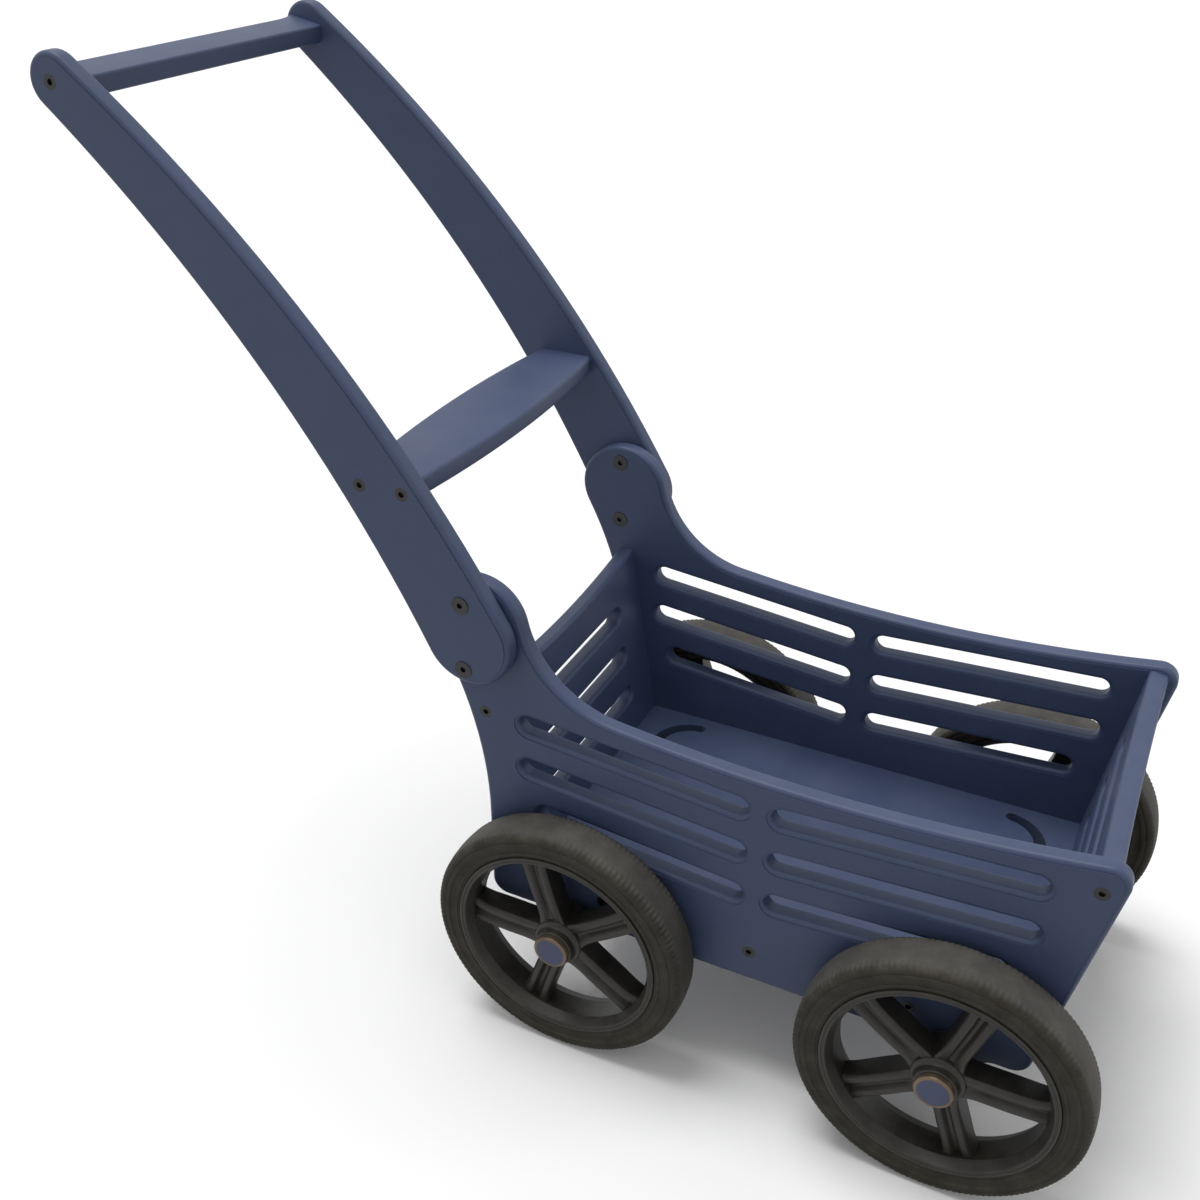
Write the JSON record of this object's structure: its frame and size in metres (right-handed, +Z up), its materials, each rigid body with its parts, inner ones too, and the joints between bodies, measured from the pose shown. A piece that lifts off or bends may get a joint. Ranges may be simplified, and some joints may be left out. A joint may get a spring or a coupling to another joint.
{
  "type": "shopping trolley",
  "caption": "Child's push trolley: slatted board tray on spoked wheels, with curved uprights, a handle bar and a cross plate.",
  "frame": {"origin": "middle of the trolley's length and width, on the ground under the tyres", "axes": "+X forward, away from the handle; +Y to the trolley's left; +Z up"},
  "size_m": [0.7668, 0.3444, 0.6878],
  "materials": {
    "painted_board": "satin slate-blue paint over board, rounded edges",
    "wheel_plastic": "moulded matt dark grey plastic",
    "tyre": "matt dark grey, slightly dusty",
    "bush_plastic": "plain moulded black",
    "steel": "plain zinc plated",
    "cap_metal": "dull metallic paint",
    "cap_disc": "plain blue disc",
    "dark_fasteners": "black coated"
  },
  "bodies": {
    "chassis": {"axle_bushes": "bush_plastic", "axle_caps": "cap_metal", "axle_clips": "steel", "axle_front": "steel", "axle_rear": "steel", "cap_discs": "cap_disc", "cross_plate": "painted_board", "cross_plate_screws": "dark_fasteners", "floor_panel": "painted_board", "floor_screws": "dark_fasteners", "front_panel": "painted_board", "front_panel_screws": "dark_fasteners", "handle_bar": "painted_board", "handle_bar_screws": "dark_fasteners", "hub_washers": "steel", "rear_panel": "painted_board", "rear_panel_screws": "dark_fasteners", "side_panel_left": "painted_board", "side_panel_right": "painted_board", "upright_bolt_sleeves": "dark_fasteners", "upright_bolts": "dark_fasteners", "upright_left": "painted_board", "upright_right": "painted_board"},
    "wheel_front_left": {"tyre_front_left": "tyre", "rim_front_left": "wheel_plastic", "hub_bush_front_left": "bush_plastic"},
    "wheel_front_right": {"tyre_front_right": "tyre", "rim_front_right": "wheel_plastic", "hub_bush_front_right": "bush_plastic"},
    "wheel_rear_left": {"tyre_rear_left": "tyre", "rim_rear_left": "wheel_plastic", "hub_bush_rear_left": "bush_plastic"},
    "wheel_rear_right": {"tyre_rear_right": "tyre", "rim_rear_right": "wheel_plastic", "hub_bush_rear_right": "bush_plastic"}
  },
  "joints": [
    {"name": "wheel_front_left_spin", "type": "hinge", "parent": "chassis", "child": "wheel_front_left", "pos_m": [0.2834, 0.15, 0.1], "axis": [0, 1, 0], "continuous": true},
    {"name": "wheel_front_right_spin", "type": "hinge", "parent": "chassis", "child": "wheel_front_right", "pos_m": [0.2834, -0.15, 0.1], "axis": [0, 1, 0], "continuous": true},
    {"name": "wheel_rear_left_spin", "type": "hinge", "parent": "chassis", "child": "wheel_rear_left", "pos_m": [0.0014, 0.15, 0.1], "axis": [0, 1, 0], "continuous": true},
    {"name": "wheel_rear_right_spin", "type": "hinge", "parent": "chassis", "child": "wheel_rear_right", "pos_m": [0.0014, -0.15, 0.1], "axis": [0, 1, 0], "continuous": true}
  ]
}
